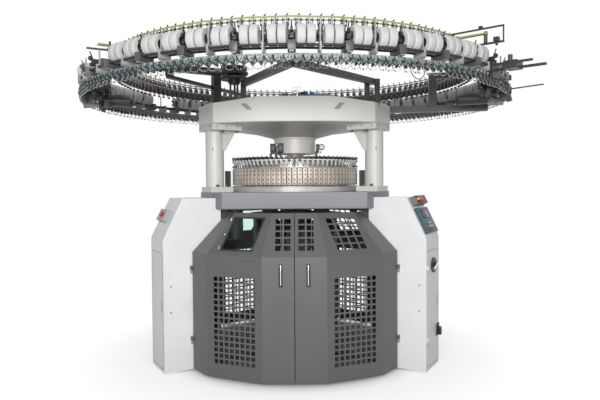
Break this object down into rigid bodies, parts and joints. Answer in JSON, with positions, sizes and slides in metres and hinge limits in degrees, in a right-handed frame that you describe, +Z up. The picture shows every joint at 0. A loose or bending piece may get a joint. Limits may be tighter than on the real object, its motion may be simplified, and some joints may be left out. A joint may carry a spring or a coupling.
{
  "type": "industrial knitting machine",
  "caption": "Large circular knitting machine on cabinet-clad legs, with a cam ring under a cast crown and two overhead rings of yarn feeders and elastane rolls.",
  "frame": {"origin": "on the floor, on the vertical axis of the needle cylinder", "axes": "+Z up along the machine axis, the operator side with the mesh doors faces -Y, +X to the operator's right"},
  "size_m": [3.4198, 3.3497, 2.37],
  "materials": {
    "machine_grey": "satin",
    "guard_grey": "satin",
    "cabinet_white": "satin",
    "warm_white": "satin",
    "column_beige": "satin",
    "dark_paint": "satin",
    "cast_grey": "matte",
    "machined_steel": "satin",
    "bright_chrome": "polished",
    "rail_aluminium": "satin",
    "black_plastic": "matte",
    "white_plastic": "gloss",
    "red_plastic": "gloss",
    "belt_yellow_green": "matte",
    "roller_rubber": "matte",
    "clear_glass": "clear",
    "cable_blue": "matte",
    "cable_violet": "matte",
    "cable_black": "matte"
  },
  "bodies": {
    "frame": {"base_spider": "cast_grey", "leg_left": "machine_grey", "leg_right": "machine_grey", "leg_rear": "machine_grey", "bed_plate": "machine_grey", "cabinet_left": "cabinet_white", "cabinet_right": "cabinet_white", "cabinet_rear": "cabinet_white", "post_left": "warm_white", "post_right": "warm_white", "post_rear": "warm_white", "frame_bolts": "dark_paint", "crown": "warm_white", "dial_column": "column_beige", "dial_cap": "machined_steel", "cam_seat": "cast_grey", "cam_ring": "machined_steel", "guide_ring": "dark_paint", "yarn_guides": "white_plastic", "terminal_boxes": "black_plastic", "drive_motor": "machine_grey", "hinge_pins": "machined_steel", "control_panel": "black_plastic", "button_boxes": "machine_grey", "roller_rail": "rail_aluminium", "drive_rollers": "roller_rubber", "elastane_rolls": "white_plastic", "feeder_rail": "rail_aluminium", "yarn_feeders": "black_plastic", "drive_belts": "belt_yellow_green", "ring_drives": "dark_paint", "ring_supports": "rail_aluminium", "pulley_stand": "dark_paint", "crown_cable": "cable_blue", "crown_wire": "cable_violet", "ring_cable": "cable_black"},
    "cylinder": {"needle_cylinder": "machined_steel", "cylinder_gear": "machined_steel"},
    "dial": {"needle_dial": "machined_steel"},
    "pinion": {"drive_pinion": "machined_steel"},
    "takedown": {"takedown_frame": "machine_grey"},
    "nip_front": {"nip_roller_front": "roller_rubber"},
    "nip_rear": {"nip_roller_rear": "roller_rubber"},
    "winding_shaft": {"fabric_shaft": "machined_steel"},
    "quality_wheel": {"quality_pulleys": "rail_aluminium"},
    "leaf_front_left": {"front_guard_left": "guard_grey", "window_glass": "clear_glass", "handle_left": "bright_chrome"},
    "leaf_front_right": {"front_guard_right": "guard_grey", "handle_right": "bright_chrome"},
    "leaf_right_front": {"right_guard_front": "guard_grey"},
    "leaf_right_rear": {"right_guard_rear": "guard_grey"},
    "leaf_left_front": {"left_guard_front": "guard_grey"},
    "leaf_left_rear": {"left_guard_rear": "guard_grey"},
    "electrics_door": {"cabinet_door": "cabinet_white"},
    "switch_knob": {"main_switch": "black_plastic"},
    "door_latch": {"latch_handle": "black_plastic"},
    "stop_left": {"stop_button_left": "red_plastic"},
    "stop_right": {"stop_button_right": "red_plastic"},
    "start": {"start_button": "red_plastic"}
  },
  "joints": [
    {"name": "cylinder_spin", "type": "hinge", "parent": "frame", "child": "cylinder", "pos_m": [0, 0, 1.24], "axis": [0, 0, 1], "continuous": true},
    {"name": "dial_spin", "type": "hinge", "parent": "frame", "child": "dial", "pos_m": [0, 0, 1.6], "axis": [0, 0, 1], "continuous": true},
    {"name": "takedown_spin", "type": "hinge", "parent": "frame", "child": "takedown", "pos_m": [0, 0, 0.105], "axis": [0, 0, 1], "continuous": true},
    {"name": "pinion_spin", "type": "hinge", "parent": "frame", "child": "pinion", "pos_m": [-0.45769, -0.26425, 1.1], "axis": [0, 0, 1], "continuous": true},
    {"name": "nip_front_spin", "type": "hinge", "parent": "takedown", "child": "nip_front", "pos_m": [0, -0.03815, 0.72], "axis": [1, 0, 0], "continuous": true},
    {"name": "nip_rear_spin", "type": "hinge", "parent": "takedown", "child": "nip_rear", "pos_m": [0, 0.03815, 0.72], "axis": [1, 0, 0], "continuous": true},
    {"name": "winding_spin", "type": "hinge", "parent": "takedown", "child": "winding_shaft", "pos_m": [0, 0, 0.42], "axis": [1, 0, 0], "continuous": true},
    {"name": "quality_spin", "type": "hinge", "parent": "frame", "child": "quality_wheel", "pos_m": [-0.44, -0.515, 2.18], "axis": [0, 0, 1], "continuous": true},
    {"name": "leaf_front_right_hinge", "type": "hinge", "parent": "frame", "child": "leaf_front_right", "pos_m": [0.75298, -0.6218, 0.5], "axis": [0, 0, 1], "range_deg": [0, 90]},
    {"name": "leaf_front_left_hinge", "type": "hinge", "parent": "frame", "child": "leaf_front_left", "pos_m": [-0.75298, -0.6218, 0.5], "axis": [0, 0, -1], "range_deg": [0, 90]},
    {"name": "leaf_right_rear_hinge", "type": "hinge", "parent": "frame", "child": "leaf_right_rear", "pos_m": [0.162, 0.963, 0.5], "axis": [0, 0, 1], "range_deg": [0, 90]},
    {"name": "leaf_right_front_hinge", "type": "hinge", "parent": "frame", "child": "leaf_right_front", "pos_m": [0.91498, -0.3412, 0.5], "axis": [0, 0, -1], "range_deg": [0, 90]},
    {"name": "leaf_left_front_hinge", "type": "hinge", "parent": "frame", "child": "leaf_left_front", "pos_m": [-0.91498, -0.3412, 0.5], "axis": [0, 0, 1], "range_deg": [0, 90]},
    {"name": "leaf_left_rear_hinge", "type": "hinge", "parent": "frame", "child": "leaf_left_rear", "pos_m": [-0.162, 0.963, 0.5], "axis": [0, 0, -1], "range_deg": [0, 90]},
    {"name": "electrics_door_hinge", "type": "hinge", "parent": "frame", "child": "electrics_door", "pos_m": [0.94658, -0.71048, 0.46], "axis": [0, 0, -1], "range_deg": [0, 100]},
    {"name": "switch_turn", "type": "hinge", "parent": "electrics_door", "child": "switch_knob", "pos_m": [1.01152, -0.584, 0.765], "axis": [0.866, -0.5, 0], "range_deg": [0, 90]},
    {"name": "latch_turn", "type": "hinge", "parent": "electrics_door", "child": "door_latch", "pos_m": [1.06452, -0.4922, 0.269], "axis": [0.866, -0.5, 0], "range_deg": [0, 90]},
    {"name": "stop_left_press", "type": "slide", "parent": "frame", "child": "stop_left", "axis": [0.7757, 0.4478, -0.4448], "range_m": [0, 0.006], "stiffness_N_per_m": 400, "springref_m": -0.004},
    {"name": "stop_right_press", "type": "slide", "parent": "frame", "child": "stop_right", "axis": [-0.7757, 0.4478, -0.4448], "range_m": [0, 0.006], "stiffness_N_per_m": 400, "springref_m": -0.004},
    {"name": "start_press", "type": "slide", "parent": "frame", "child": "start", "axis": [-0.7757, 0.4478, -0.4448], "range_m": [0, 0.006], "stiffness_N_per_m": 400, "springref_m": -0.004}
  ],
  "couplings": [
    {"joint": "dial_spin", "follows": "cylinder_spin", "ratio": 1},
    {"joint": "takedown_spin", "follows": "cylinder_spin", "ratio": 1},
    {"joint": "pinion_spin", "follows": "cylinder_spin", "ratio": -12.2},
    {"joint": "nip_rear_spin", "follows": "nip_front_spin", "ratio": -1}
  ]
}
